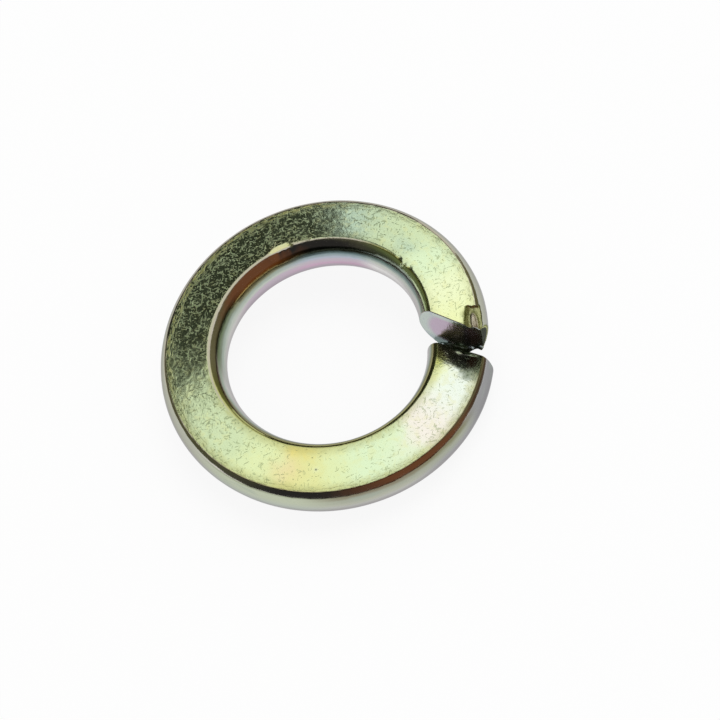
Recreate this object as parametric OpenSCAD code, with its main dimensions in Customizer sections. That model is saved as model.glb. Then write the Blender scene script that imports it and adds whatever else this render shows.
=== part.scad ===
// Spring lock washer: one turn of wedge-section wire, coiled to the left, cut on a slant and sprung open.
// The washer lies flat, its hole runs along Z, and the cut crosses the +X side.
// The end on the +Y side of the cut is the high one.

/* [Coil] */
// Diameter of the hole
hole_d = 10.4; // [9:0.1:12]
// Width of the wire, from the hole to the rim
wire_w = 3.5; // [2.6:0.1:4.5]
// Thickness of the wire, halfway across its width
wire_t = 2.29; // [1.6:0.01:3]
// Height of the high end's underside over the low end's top, halfway across the wire
end_step = 0.03; // [0.02:0.01:1.5]

/* [Wire section] */
// Slope of the top and the underside, which makes the wire thicker beside the hole
face_slope = 8.1; // [0:0.1:10]
// Width of the rounded side beside the hole
hole_side_w = 0.74; // [0.3:0.01:0.9]
// Width of the rounded side at the rim
rim_side_w = 0.51; // [0.3:0.01:0.9]
// Fullness of the rounded sides, where 2 is an ellipse
side_fullness = 1.76; // [1.4:0.02:3]

/* [Cut] */
// Slant of the cut from the radial direction
cut_slant = 24.8; // [12:0.2:34]
// Gap between the end faces, halfway across the wire
gap_w = 0.34; // [0.06:0.01:0.8]
// Angle at which the gap widens towards the hole
gap_flare = 6.5; // [0:0.5:10]
// Lean of the end faces from upright
end_lean = 6.7; // [0:0.1:8]

/* [Broken corner of the high end] */
// Length of the break, back from the cut
chip_l = 1.75; // [0.5:0.05:3]
// Width of the break, in from the rim
chip_w = 1.1; // [0.6:0.05:1.3]
// Depth of the break below the top face, at its back corner beside the hole
chip_d = 0.15; // [0.02:0.01:0.4]
// Slope of the break down to the rim
chip_roll = 6; // [0:1:35]
// Slope of the break down to the cut
chip_dip = 3; // [0:1:25]
// Angle at which the broken end face turns back from the cut
chip_turn = 20; // [5:1:24]
// Width of the splinter lost from the rim, at the broken end face
splinter_w = 0.32; // [0.1:0.02:0.4]
// Length of the splinter, back from the broken end face
splinter_l = 0.8; // [0.4:0.05:1.5]

/* [Hidden] */
zinc_yellow = [0.78, 0.76, 0.42];
// Steps round one turn, and down each rounded side
turn_steps = 120;
side_steps = 8;
// Extra that the rounded sides have until the hole and the rim are trimmed to true cylinders
trim = 0.06;

hole_r = hole_d / 2;
rim_r = hole_r + wire_w;
mid_r = (hole_r + rim_r) / 2;
coil_rise = wire_t + end_step;
flat_hole_r = hole_r + hole_side_w;
flat_rim_r = rim_r - rim_side_w;
low_slant = cut_slant - gap_flare;
back_r = rim_r - chip_w;
overall_h = coil_rise + 2 * half_t(flat_hole_r);

// Half the thickness of the wire at a radius on its flat faces
function half_t(r) = wire_t / 2 + (mid_r - r) * tan(face_slope);

// One rounded side, from its lower edge up, as [radius, height] points
function rounded_side(flat_r, tip_r) =
    [for (i = [0 : side_steps])
        let (turn = 180 * i / side_steps - 90,
             reach = pow(cos(turn), 2 / side_fullness),
             lift = sign(turn) * pow(abs(sin(turn)), 2 / side_fullness))
        [flat_r + (tip_r - flat_r) * reach, half_t(flat_r) * lift]];

// The wire's section, from the rim's lower edge up and round to the hole's lower edge
function wire_section() =
    let (rim_side = rounded_side(flat_rim_r, rim_r + trim),
         hole_side = rounded_side(flat_hole_r, hole_r - trim))
    concat(rim_side, [for (i = [side_steps : -1 : 0]) hole_side[i]]);

// Angle round the axis at which a straight slanted cut meets a radius, at a height in the section.
// The cut crosses +X halfway across the wire, less its setback.
function cut_angle(slant, setback, p) =
    90 - slant - acos((mid_r * sin(slant) - setback + p[1] * tan(end_lean)) / p[0]);

function high_end(p) = cut_angle(cut_slant, 0, p);
function low_end(p) = 360 + cut_angle(low_slant, gap_w, p);

section = wire_section();
// Height of the section's middle where the low end would meet +X, with the lowest edge at zero
low_z = -min([for (p = section) p[1] + coil_rise * (1 - low_end(p) / 360)]);

// Height of the section's middle at an angle round the axis
function coil_z(angle) = low_z + coil_rise * (1 - angle / 360);

// Points of one station along the coil, from the high end at 0 to the low end at 1
function station(along) =
    [for (p = section)
        let (angle = high_end(p) + (low_end(p) - high_end(p)) * along)
        [p[0] * cos(angle), p[0] * sin(angle), p[1] + coil_z(angle)]];

// The wire swept once round the coil
module coil() {
    count = len(section);
    points = [for (i = [0 : turn_steps]) each station(i / turn_steps)];
    skin = [for (i = [0 : turn_steps - 1], j = [0 : count - 1])
        let (a = i * count + j, b = i * count + (j + 1) % count)
        each [[a, a + count, b], [b, a + count, b + count]]];
    high_face = [for (j = [0 : count - 1]) j];
    low_face = [for (j = [count - 1 : -1 : 0]) turn_steps * count + j];
    polyhedron(points, concat(skin, [high_face, low_face]));
}

// The outer part of the high end's face, broken back from the cut.
// Its underside lies midway between the two ends, so that the low end stays whole.
module broken_face() {
    face_angle = high_end([back_r, 0]);
    translate([back_r * cos(face_angle), back_r * sin(face_angle), coil_z(face_angle)])
        rotate([-end_lean, 0, chip_turn - cut_slant])
            translate([-chip_w / 4, -chip_l, -coil_rise / 2])
                cube([2 * chip_w, chip_l, 2 * coil_rise]);
}

// The splinter lost from the rim beside the broken end face
module splinter() {
    corner_angle = high_end([rim_r, 0]) + chip_w * tan(chip_turn) / rim_r * 180 / PI;
    rotate([0, 0, corner_angle])
        translate([rim_r - splinter_w, 0, coil_z(corner_angle) - coil_rise / 2])
            rotate([0, 0, -atan(splinter_w / splinter_l)])
                translate([0, -splinter_l, 0])
                    cube([2 * splinter_w, 3 * splinter_l, 2 * coil_rise]);
}

// The piece broken out of the high end's upper corner at the rim
module broken_corner() {
    back_angle = high_end([rim_r, 0]) + chip_l / rim_r * 180 / PI;
    rotate([0, 0, back_angle])
        translate([back_r, 0, coil_z(back_angle) + half_t(back_r) - chip_d])
            rotate([chip_dip, chip_roll, 0])
                translate([0, -2 * chip_l, 0])
                    cube([3 * chip_w, 2 * chip_l, wire_t]);
}

module lock_washer() {
    color(zinc_yellow)
        difference() {
            intersection() {
                coil();
                translate([0, 0, -1])
                    cylinder(r = rim_r, h = overall_h + 2, $fn = turn_steps);
            }
            translate([0, 0, -1])
                cylinder(r = hole_r, h = overall_h + 2, $fn = turn_steps);
            broken_face();
            splinter();
            broken_corner();
        }
}

lock_washer();
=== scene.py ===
"""Dresses a spring lock washer in yellow zinc plating, on a plain white table under soft studio light.

Everything is in metres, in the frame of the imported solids. The hole runs along Z, the cut crosses
+X, and the high end is on the +Y side of the cut. Round the axis, angles grow from the high end
to the low end, the way that the coil comes down.
"""

import logging
import math
from dataclasses import dataclass, field
from enum import Enum

import bmesh
import bpy
import numpy as np
from mathutils import Matrix, Vector, noise


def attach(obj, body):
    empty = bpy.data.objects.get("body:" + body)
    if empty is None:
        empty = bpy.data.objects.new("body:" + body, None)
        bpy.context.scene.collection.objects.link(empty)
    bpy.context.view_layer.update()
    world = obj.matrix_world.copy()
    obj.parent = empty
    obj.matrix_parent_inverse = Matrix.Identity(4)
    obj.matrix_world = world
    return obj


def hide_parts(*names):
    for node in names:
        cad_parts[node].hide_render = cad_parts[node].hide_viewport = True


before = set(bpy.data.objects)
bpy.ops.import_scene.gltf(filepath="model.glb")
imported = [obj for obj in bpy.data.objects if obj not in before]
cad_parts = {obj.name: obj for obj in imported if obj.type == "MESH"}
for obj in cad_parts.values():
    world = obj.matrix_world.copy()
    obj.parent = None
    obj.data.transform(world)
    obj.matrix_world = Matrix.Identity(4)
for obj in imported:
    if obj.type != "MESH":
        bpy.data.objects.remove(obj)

LOG = logging.getLogger("lock_washer")
MM = 0.001
Colour = tuple[float, float, float]


class Attribute(Enum):
    """Numbers that the coil's mesh carries at each point, for its finish to read."""

    ACROSS = "across"
    LEVEL = "level"
    TURN = "turn"
    FACE = "face"
    # The broken corner, and the painted shade beside the notch.
    BROKEN_AND_SHADE = "broken"
    # Where metal was dragged towards the gap, and the splinter; the finish paints both near black, as
    # painted shade.
    DRAGGED = "dragged"
    FLAP = "flap"


@dataclass(frozen=True)
class Formula:
    """A number that a node tree works out at each point. Python's operators add the math nodes."""

    tree: bpy.types.NodeTree
    socket: bpy.types.NodeSocket

    def math(self, operation: str, *others: "Formula | float", clamp: bool = False) -> "Formula":
        """Adds one math node.

        Args:
            operation: The node's operation, such as "SINE".
            others: The node's further inputs.
            clamp: Whether the result is kept from 0 to 1.

        Returns:
            The node's result.
        """
        node = self.tree.nodes.new("ShaderNodeMath")
        node.operation = operation
        node.use_clamp = clamp
        for slot, value in zip(node.inputs, (self, *others)):
            feed(self.tree, slot, value)
        return Formula(self.tree, node.outputs[0])

    def __add__(self, other: "Formula | float") -> "Formula":
        """The sum."""
        return self.math("ADD", other)

    __radd__ = __add__

    def __sub__(self, other: "Formula | float") -> "Formula":
        """The difference."""
        return self.math("SUBTRACT", other)

    def __rsub__(self, other: float) -> "Formula":
        """The difference from a plain number."""
        return self.math("MULTIPLY_ADD", -1.0, other)

    def __mul__(self, other: "Formula | float") -> "Formula":
        """The product."""
        return self.math("MULTIPLY", other)

    __rmul__ = __mul__

    def __truediv__(self, other: "Formula | float") -> "Formula":
        """The quotient."""
        return self.math("DIVIDE", other)

    def __pow__(self, other: "Formula | float") -> "Formula":
        """The power."""
        return self.math("POWER", other)

    def between(self, low: float, high: float) -> "Formula":
        """How far this number has come from low to high, kept from 0 to 1 and eased at both ends."""
        node = self.tree.nodes.new("ShaderNodeMapRange")
        node.interpolation_type = "SMOOTHSTEP"
        feed(self.tree, node.inputs["Value"], self)
        feed(self.tree, node.inputs["From Min"], low)
        feed(self.tree, node.inputs["From Max"], high)
        return Formula(self.tree, node.outputs["Result"])


def feed(tree: bpy.types.NodeTree, slot: bpy.types.NodeSocket, value: object) -> None:
    """Gives a node's input its value.

    Args:
        tree: The tree that the node is in.
        slot: The input.
        value: A formula or a socket to link, or a plain value to set.
    """
    if isinstance(value, Formula):
        tree.links.new(value.socket, slot)
    elif isinstance(value, bpy.types.NodeSocket):
        tree.links.new(value, slot)
    else:
        slot.default_value = value


@dataclass(frozen=True)
class WasherSizes:
    """The washer's driving sizes, in metres and radians, as its solid has them."""

    hole_diameter: float = 10.4 * MM
    wire_width: float = 3.5 * MM
    wire_thickness: float = 2.29 * MM
    end_step: float = 0.03 * MM
    face_slope: float = math.radians(8.1)
    hole_side: float = 0.74 * MM
    rim_side: float = 0.51 * MM
    side_fullness: float = 1.76
    cut_slant: float = math.radians(24.8)
    gap_width: float = 0.34 * MM
    gap_flare: float = math.radians(6.5)
    end_lean: float = math.radians(6.7)
    chip_width: float = 1.1 * MM
    chip_depth: float = 0.15 * MM
    chip_roll: float = math.radians(6.0)
    chip_dip: float = math.radians(3.0)
    chip_turn: float = math.radians(20.0)
    splinter_width: float = 0.32 * MM
    splinter_length: float = 0.8 * MM

    @property
    def hole_radius(self) -> float:
        """Radius of the hole."""
        return self.hole_diameter / 2

    @property
    def rim_radius(self) -> float:
        """Radius of the rim."""
        return self.hole_radius + self.wire_width

    @property
    def middle_radius(self) -> float:
        """Radius halfway across the wire."""
        return self.hole_radius + self.wire_width / 2

    @property
    def flat_hole_radius(self) -> float:
        """Radius at which the flat faces start, beside the hole."""
        return self.hole_radius + self.hole_side

    @property
    def chip_radius(self) -> float:
        """Radius at which the broken corner starts."""
        return self.rim_radius - self.chip_width

    @property
    def rise(self) -> float:
        """How far the coil comes down in a full turn."""
        return self.wire_thickness + self.end_step

    @property
    def cut_reach(self) -> float:
        """Distance from the axis to the high end's cut, square to it."""
        return self.middle_radius * math.sin(self.cut_slant)

    @property
    def broken_slant(self) -> float:
        """Slant of the broken part of the high end's face."""
        return self.cut_slant - self.chip_turn

    @property
    def broken_reach(self) -> float:
        """Distance from the axis to the broken part of the high end's face, square to it."""
        return self.chip_radius * math.sin(self.broken_slant + self.cut_angle(self.chip_radius))

    @property
    def corner_angle(self) -> float:
        """Angle at which the broken part of the high end's face meets the rim."""
        return self.cut_angle(self.rim_radius) + self.chip_width * math.tan(self.chip_turn) / self.rim_radius

    def half_thickness(self, radius: float) -> float:
        """Half the wire's thickness at a radius on its flat faces."""
        return self.wire_thickness / 2 + (self.middle_radius - radius) * math.tan(self.face_slope)

    def cut_angle(self, radius: float, height: float = 0.0, low: bool = False) -> float:
        """Angle at which one end's cut meets a radius.

        Args:
            radius: Distance from the axis.
            height: Height over the section's middle.
            low: Whether the end is the low one.

        Returns:
            The angle round the axis, in radians.
        """
        slant = self.cut_slant - self.gap_flare if low else self.cut_slant
        setback = self.gap_width if low else 0.0
        reach = self.middle_radius * math.sin(slant) - setback + height * math.tan(self.end_lean)
        return math.pi / 2 - slant - math.acos(reach / radius) + (math.tau if low else 0.0)

    @property
    def low_height(self) -> float:
        """Height of the section's middle where the low end would meet +X, with the lowest edge at 0."""
        drop = self.half_thickness(self.flat_hole_radius)
        return drop - self.rise * (1 - self.cut_angle(self.flat_hole_radius, -drop, low=True) / math.tau)

    def height(self, angle: float) -> float:
        """Height of the section's middle at an angle round the axis."""
        return self.low_height + self.rise * (1 - angle / math.tau)


@dataclass(frozen=True)
class CoilTree:
    """Geometry Nodes that sweep the wedge section once round the coil and close both sheared ends.

    A flat grid is bent into the coil. One way it counts rows along the wire, and the first and last
    rows shrink to a point in the middle of each end face. The other way it runs round the section.
    """

    sizes: WasherSizes
    rows: int = 620
    columns: int = 148
    end_face_share: float = 0.05
    row_crowding: float = 0.8
    column_crowding: float = 0.55
    arc_share: float = 0.56
    edge_round: float = 0.045 * MM
    round_share: float = 0.16
    waviness: float = 0.012 * MM
    waves_per_mm: float = 0.5

    def inputs(self) -> dict[str, float]:
        """The tree's named inputs and their values."""
        s = self.sizes
        return {
            "Hole radius": s.hole_radius,
            "Wire width": s.wire_width,
            "Wire thickness": s.wire_thickness,
            "Face slope": s.face_slope,
            "Hole side": s.hole_side,
            "Rim side": s.rim_side,
            "Side fullness": s.side_fullness,
            "Cut slant": s.cut_slant,
            "Cut reach": s.cut_reach,
            "Gap width": s.gap_width,
            "Gap flare": s.gap_flare,
            "End lean": s.end_lean,
            "Broken slant": s.broken_slant,
            "Broken reach": s.broken_reach,
            "Rise": s.rise,
            "Low height": s.low_height,
            "Edge round": self.edge_round,
            "Waviness": self.waviness,
        }

    def build(self) -> bpy.types.NodeTree:
        """Builds the tree.

        Returns:
            The finished node group, with one input for each size and one for the material.
        """
        tree = bpy.data.node_groups.new("washer coil", "GeometryNodeTree")
        for name in self.inputs():
            tree.interface.new_socket(name, in_out="INPUT", socket_type="NodeSocketFloat")
        tree.interface.new_socket("Finish", in_out="INPUT", socket_type="NodeSocketMaterial")
        tree.interface.new_socket("Coil", in_out="OUTPUT", socket_type="NodeSocketGeometry")
        given = tree.nodes.new("NodeGroupInput")
        size = {name: Formula(tree, given.outputs[name]) for name in self.inputs()}

        grid = tree.nodes.new("GeometryNodeMeshGrid")
        grid.inputs["Vertices X"].default_value = self.rows
        grid.inputs["Vertices Y"].default_value = self.columns
        place = tree.nodes.new("GeometryNodeInputPosition")
        parts = tree.nodes.new("ShaderNodeSeparateXYZ")
        tree.links.new(place.outputs[0], parts.inputs[0])
        row = Formula(tree, parts.outputs["X"]) + 0.5
        column = Formula(tree, parts.outputs["Y"]) + 0.5

        radius, height, level = self.section(size, column)
        inward = (row.math("MINIMUM", 1.0 - row) / self.end_face_share).math("MINIMUM", 1.0)
        round_turn = ((inward - (1 - self.round_share)) / self.round_share).math("MAXIMUM", 0.0)
        round_turn = round_turn * (math.pi / 2)
        face = (inward / (1 - self.round_share)).math("MINIMUM", 1.0)
        corner = size["Edge round"] / (size["Wire thickness"] * 0.5)
        shrink = face * (1.0 - corner) + round_turn.math("SINE") * corner
        depth = size["Edge round"] * (1.0 - round_turn.math("COSINE"))
        middle = size["Hole radius"] + size["Wire width"] * 0.5
        radius = middle + (radius - middle) * shrink
        height = height * shrink

        even = ((row - self.end_face_share) / (1 - 2 * self.end_face_share)).math("MAXIMUM", 0.0)
        even = even.math("MINIMUM", 1.0)
        along = even - (even * math.tau).math("SINE") * (self.row_crowding / math.tau)
        lean = height * size["End lean"].math("TANGENT")
        high = self.end_angle(radius, size["Cut slant"], size["Cut reach"] + lean, math.pi / 2)
        broken = self.end_angle(radius, size["Broken slant"], size["Broken reach"] + lean, math.pi / 2)
        low_slant = size["Cut slant"] - size["Gap flare"]
        low_reach = middle * low_slant.math("SINE") - size["Gap width"] + lean
        low = self.end_angle(radius, low_slant, low_reach, math.pi / 2 + math.tau)
        high = high.math("SMOOTH_MAX", broken, 0.012) + depth / radius
        low = low - depth / radius
        angle = high + (low - high) * along
        rise = size["Low height"] + size["Rise"] * (1.0 - angle / math.tau)

        point = tree.nodes.new("ShaderNodeCombineXYZ")
        feed(tree, point.inputs["X"], radius * angle.math("COSINE"))
        feed(tree, point.inputs["Y"], radius * angle.math("SINE"))
        feed(tree, point.inputs["Z"], height + rise)
        bent = tree.nodes.new("GeometryNodeSetPosition")
        numbers = {
            Attribute.ACROSS: (radius - size["Hole radius"]) / size["Wire width"],
            Attribute.LEVEL: level * face,
            Attribute.TURN: angle / math.tau,
            Attribute.FACE: 1.0 - inward,
        }
        shape = grid.outputs["Mesh"]
        for name, number in numbers.items():
            shape = self.store(tree, shape, name, number)
        tree.links.new(shape, bent.inputs["Geometry"])
        tree.links.new(point.outputs[0], bent.inputs["Position"])

        closed = tree.nodes.new("GeometryNodeMergeByDistance")
        closed.inputs["Distance"].default_value = 1e-7
        tree.links.new(bent.outputs["Geometry"], closed.inputs["Geometry"])
        waved = self.wave(tree, closed.outputs["Geometry"], size["Waviness"])
        single = tree.nodes.new("GeometryNodeRealizeInstances")
        dressed = tree.nodes.new("GeometryNodeSetMaterial")
        result = tree.nodes.new("NodeGroupOutput")
        tree.links.new(waved, single.inputs["Geometry"])
        tree.links.new(single.outputs["Geometry"], dressed.inputs["Geometry"])
        tree.links.new(given.outputs["Finish"], dressed.inputs["Material"])
        tree.links.new(dressed.outputs["Geometry"], result.inputs["Coil"])
        return tree

    def section(self, size: dict[str, Formula], column: Formula) -> tuple[Formula, Formula, Formula]:
        """Works out the wire's section: the rim's rounded side, the top, the hole's side, the underside.

        Args:
            size: The tree's inputs by name.
            column: How far round the section, from 0 to 1.

        Returns:
            The radius, the height over the section's middle, and that height as a share of the full one.
        """
        hole_half = column.math("GREATER_THAN", 0.5)
        up = 1.0 - 2.0 * hole_half
        share = column * 2.0 - hole_half
        arc = (share / self.arc_share).math("MINIMUM", 1.0)
        run = ((share - self.arc_share) / (1 - self.arc_share)).math("MAXIMUM", 0.0)
        run = run - (run * math.tau).math("SINE") * (self.column_crowding / math.tau)
        turn = (arc - 0.5) * math.pi
        power = 2.0 / self.sizes.side_fullness
        reach = turn.math("COSINE").math("MAXIMUM", 0.0) ** power
        sine = turn.math("SINE")
        lift = sine.math("SIGN") * sine.math("ABSOLUTE") ** power

        hole = size["Hole radius"]
        rim = hole + size["Wire width"]
        flat_hole = hole + size["Hole side"]
        flat_rim = rim - size["Rim side"]
        own_flat = flat_rim + (flat_hole - flat_rim) * hole_half
        next_flat = flat_hole + (flat_rim - flat_hole) * hole_half
        tip = rim + (hole - rim) * hole_half
        flat = own_flat + (next_flat - own_flat) * run
        radius = flat + (tip - own_flat) * reach
        slope = size["Face slope"].math("TANGENT")
        middle = hole + size["Wire width"] * 0.5
        own_half = size["Wire thickness"] * 0.5 + (middle - own_flat) * slope
        height = up * (own_half * lift + (own_flat - flat) * slope)
        return radius, height, up * lift

    @staticmethod
    def end_angle(radius: Formula, slant: Formula, reach: Formula, start: float) -> Formula:
        """Works out where a straight cut meets a radius.

        Args:
            radius: Distance from the axis.
            slant: Slant of the cut from the radial direction.
            reach: Distance from the axis to the cut, square to it.
            start: Angle round the axis at which an unslanted cut through it would lie square.

        Returns:
            The angle round the axis.
        """
        return start - slant - (reach / radius).math("ARCCOSINE")

    def wave(self, tree: bpy.types.NodeTree, shape: bpy.types.NodeSocket,
             depth: Formula) -> bpy.types.NodeSocket:
        """Adds nodes that make the drawn wire's faces gently uneven.

        Args:
            tree: The tree.
            shape: The geometry to move.
            depth: How far the surface moves in all.

        Returns:
            The moved geometry.
        """
        waves = tree.nodes.new("ShaderNodeTexNoise")
        waves.noise_dimensions = "4D"
        waves.inputs["W"].default_value = 2.0
        waves.inputs["Scale"].default_value = self.waves_per_mm / MM
        waves.inputs["Detail"].default_value = 1.0
        place = tree.nodes.new("GeometryNodeInputPosition")
        tree.links.new(place.outputs[0], waves.inputs["Vector"])
        outward = tree.nodes.new("GeometryNodeInputNormal")
        scaled = tree.nodes.new("ShaderNodeVectorMath")
        scaled.operation = "SCALE"
        tree.links.new(outward.outputs[0], scaled.inputs[0])
        feed(tree, scaled.inputs["Scale"], (Formula(tree, waves.outputs["Fac"]) - 0.5) * depth)
        moved = tree.nodes.new("GeometryNodeSetPosition")
        tree.links.new(shape, moved.inputs["Geometry"])
        tree.links.new(scaled.outputs[0], moved.inputs["Offset"])
        return moved.outputs["Geometry"]

    @staticmethod
    def store(tree: bpy.types.NodeTree, shape: bpy.types.NodeSocket, name: Attribute,
              number: Formula) -> bpy.types.NodeSocket:
        """Adds a node that keeps a number on the mesh's points, and returns its geometry."""
        node = tree.nodes.new("GeometryNodeStoreNamedAttribute")
        node.data_type = "FLOAT"
        node.domain = "POINT"
        node.inputs["Name"].default_value = name.value
        tree.links.new(shape, node.inputs["Geometry"])
        feed(tree, node.inputs["Value"], number)
        return node.outputs["Geometry"]


@dataclass(frozen=True)
class Lump:
    """A burr or a nick on the top: the skin near one point, pushed from the axis and upwards.

    Its lengths are in millimetres.
    """

    degrees: float
    radius: float
    length: float
    width: float
    outward: float
    upward: float


@dataclass
class Skin:
    """The coil's points, read from its mesh to be moved and then put back."""

    mesh: bpy.types.Mesh
    points: np.ndarray = field(init=False)
    radius: np.ndarray = field(init=False)
    turn: np.ndarray = field(init=False)
    level: np.ndarray = field(init=False)

    def __post_init__(self) -> None:
        """Reads each point, its distance from the axis, its angle round it and its level."""
        flat = np.empty(len(self.mesh.vertices) * 3)
        self.mesh.vertices.foreach_get("co", flat)
        self.points = flat.reshape(-1, 3)
        self.radius = np.hypot(self.points[:, 0], self.points[:, 1])
        self.turn = self.carried(Attribute.TURN) * math.tau
        self.level = self.carried(Attribute.LEVEL)

    def carried(self, name: Attribute) -> np.ndarray:
        """Reads a number that the mesh carries at its points."""
        values = np.empty(len(self.mesh.vertices))
        self.mesh.attributes[name.value].data.foreach_get("value", values)
        return values

    def carry(self, name: Attribute, values: np.ndarray) -> None:
        """Gives the mesh a number from 0 to 1 to carry at its points."""
        layers = self.mesh.attributes
        layer = layers.get(name.value) or layers.new(name.value, "FLOAT", "POINT")
        layer.data.foreach_set("value", np.clip(values, 0.0, 1.0))

    def ragged(self, near: np.ndarray, layers: int, x: np.ndarray, y: "np.ndarray | float" = 0.0,
               z: "np.ndarray | float" = 0.0) -> np.ndarray:
        """Works out a ragged number round 0 at the points in reach, and 0 at the others.

        Args:
            near: Whether each point is in reach.
            layers: Number of finer and finer layers.
            x: Where each point lies in the pattern, with y and z.
            y: The second coordinate.
            z: The third coordinate.

        Returns:
            The number at each point.
        """
        places = np.column_stack(np.broadcast_arrays(x, y, z))
        values = np.zeros(len(places))
        for i in np.flatnonzero(near):
            values[i] = noise.fractal(Vector(places[i]), 1.0, 2.0, layers)
        return values

    def put_back(self) -> None:
        """Moves the mesh's points to where these are."""
        self.mesh.vertices.foreach_set("co", self.points.ravel())


@dataclass
class Washer:
    """The washer's one piece, and what happened to it: the broken corner, the burrs and the nicks."""

    sizes: WasherSizes
    finish: bpy.types.Material
    name: str = "lock_washer_plated"
    notch_length: float = 1.88 * MM
    notch_reach: float = 0.8 * MM
    notch_turn: float = 0.2
    rough_per_mm: float = 4.5
    inner_wall_slope: float = 0.5
    inner_wall_foot: float = 0.42 * MM
    inner_wall_rough: float = 0.05 * MM
    back_wall_slope: float = 2.2
    back_wall_rough: float = 0.12 * MM
    groove_outward: float = 0.26 * MM
    groove_width: float = 0.1 * MM
    groove_depth: float = 0.04 * MM
    flap_outward: float = 0.43 * MM
    flap_behind: float = -0.95 * MM
    flap_length: float = 0.6 * MM
    flap_width: float = 0.19 * MM
    flap_height: float = 0.17 * MM
    crumble: float = 0.019 * MM
    shade_reach: float = 0.3 * MM
    shade_end: float = 0.2 * MM
    shade_fade: float = 0.35 * MM
    lip: float = 0.2 * MM
    lip_reach: tuple[tuple[float, float], ...] = (
        (5.2 * MM, 0.2), (6.2 * MM, 0.5), (6.6 * MM, 0.9),
        (7.3 * MM, 1.0), (7.66 * MM, 1.0), (7.86 * MM, 0.1))
    lip_thickness: tuple[tuple[float, float], ...] = ((7.2 * MM, 0.08 * MM), (7.6 * MM, 0.2 * MM))
    lip_length: float = 0.16 * MM
    lip_ragged: float = 0.9
    lip_drop: float = 0.15
    shade_radius: float = 6.1 * MM
    tooth_radius: float = 8.22 * MM
    tooth_width: float = 0.1 * MM
    tooth_share: float = 0.8
    crest_depth: float = 0.013 * MM
    crest_width: float = 0.08 * MM
    crest_shares: tuple[tuple[float, float], ...] = ((0.24, 0.15), (0.29, 1.0), (0.55, 1.0), (0.61, 0.15))
    curl_turns: tuple[float, float] = (105.4, 118.5)
    curl_width: float = 0.26 * MM
    curl_slope: float = 0.23
    curl_foot: float = 0.3
    lumps: tuple[Lump, ...] = (
        Lump(38.2, 5.92, 0.07, 0.13, -0.12, 0.0),
        Lump(40.4, 5.92, 0.09, 0.15, -0.22, -0.01),
        Lump(42.2, 5.92, 0.07, 0.13, -0.09, 0.0),
        Lump(44.5, 5.92, 0.16, 0.09, 0.03, -0.02),
        Lump(36.2, 5.92, 0.14, 0.09, 0.02, -0.02),
        Lump(106.3, 6.05, 0.08, 0.12, 0.0, 0.02),
        Lump(355.6, 7.75, 0.10, 0.30, 0.0, 0.04),
        Lump(356.4, 7.05, 0.09, 0.14, 0.0, 0.05),
    )

    def build(self) -> bpy.types.Object:
        """Makes the coil with Geometry Nodes, turns it into a plain mesh and damages it.

        Returns:
            The finished piece.
        """
        coil = CoilTree(self.sizes)
        tree = coil.build()
        carrier = bpy.data.objects.new("coil carrier", bpy.data.meshes.new("coil carrier"))
        bpy.context.scene.collection.objects.link(carrier)
        modifier = carrier.modifiers.new("Coil", "NODES")
        modifier.node_group = tree
        known = {item.name: item.identifier for item in tree.interface.items_tree}
        for name, value in coil.inputs().items():
            modifier[known[name]] = value
        modifier[known["Finish"]] = self.finish
        graph = bpy.context.evaluated_depsgraph_get()
        mesh = bpy.data.meshes.new_from_object(carrier.evaluated_get(graph))
        mesh.name = self.name
        bpy.data.objects.remove(carrier)
        piece = bpy.data.objects.new(self.name, mesh)
        bpy.context.scene.collection.objects.link(piece)
        for change in (self.break_corner, self.drag_lip, self.wear_crest, self.press_curl, self.raise_lumps):
            skin = Skin(mesh)
            change(skin)
            skin.put_back()
        self.face_outwards(mesh)
        mesh.shade_smooth()
        return piece

    def break_corner(self, skin: Skin) -> None:
        """Breaks the high end's upper corner at the rim, with a flap left standing, and the splinter, and
        marks a painted shade beside the notch.

        Args:
            skin: The coil's points, which are moved.
        """
        s = self.sizes
        points, radius, turn = skin.points, skin.radius, skin.turn
        back_angle = s.cut_angle(s.rim_radius) + self.notch_length / s.rim_radius
        outward = radius * np.cos(turn - back_angle) - s.chip_radius
        behind = radius * np.sin(turn - back_angle)
        near = (turn < back_angle + self.notch_turn) & (outward > -self.notch_reach)
        rough = skin.ragged(near, 3, *(points.T * (self.rough_per_mm / MM)))

        floor = s.height(back_angle) + s.half_thickness(s.chip_radius) - s.chip_depth
        floor = floor - np.tan(s.chip_roll) * outward + np.tan(s.chip_dip) * behind
        inner_wall = self.inner_wall_foot - outward - rough * self.inner_wall_rough
        floor = floor + self.inner_wall_slope * np.maximum(inner_wall, 0)
        floor = floor + self.back_wall_slope * np.maximum(behind + rough * self.back_wall_rough, 0)
        groove = np.exp(-((outward - self.groove_outward) / self.groove_width) ** 2)
        flap = ((outward - self.flap_outward) / self.flap_width) ** 2
        flap = np.exp(-(flap + ((behind - self.flap_behind) / self.flap_length) ** 2) ** 2)
        floor = floor - self.groove_depth * groove + self.flap_height * flap + self.crumble * rough
        lowered = np.where(near & (skin.level > 0.2), np.maximum(points[:, 2] - floor, 0), 0)
        points[:, 2] -= lowered

        along = turn - s.corner_angle
        slant = s.splinter_width / s.splinter_length
        limit = s.rim_radius - s.splinter_width + radius * np.sin(along) * slant + rough * 0.03 * MM
        split = np.where(near, np.maximum(radius * np.cos(along) - limit, 0), 0)
        points[:, 0] -= split * math.cos(s.corner_angle)
        points[:, 1] -= split * math.sin(s.corner_angle)

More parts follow.
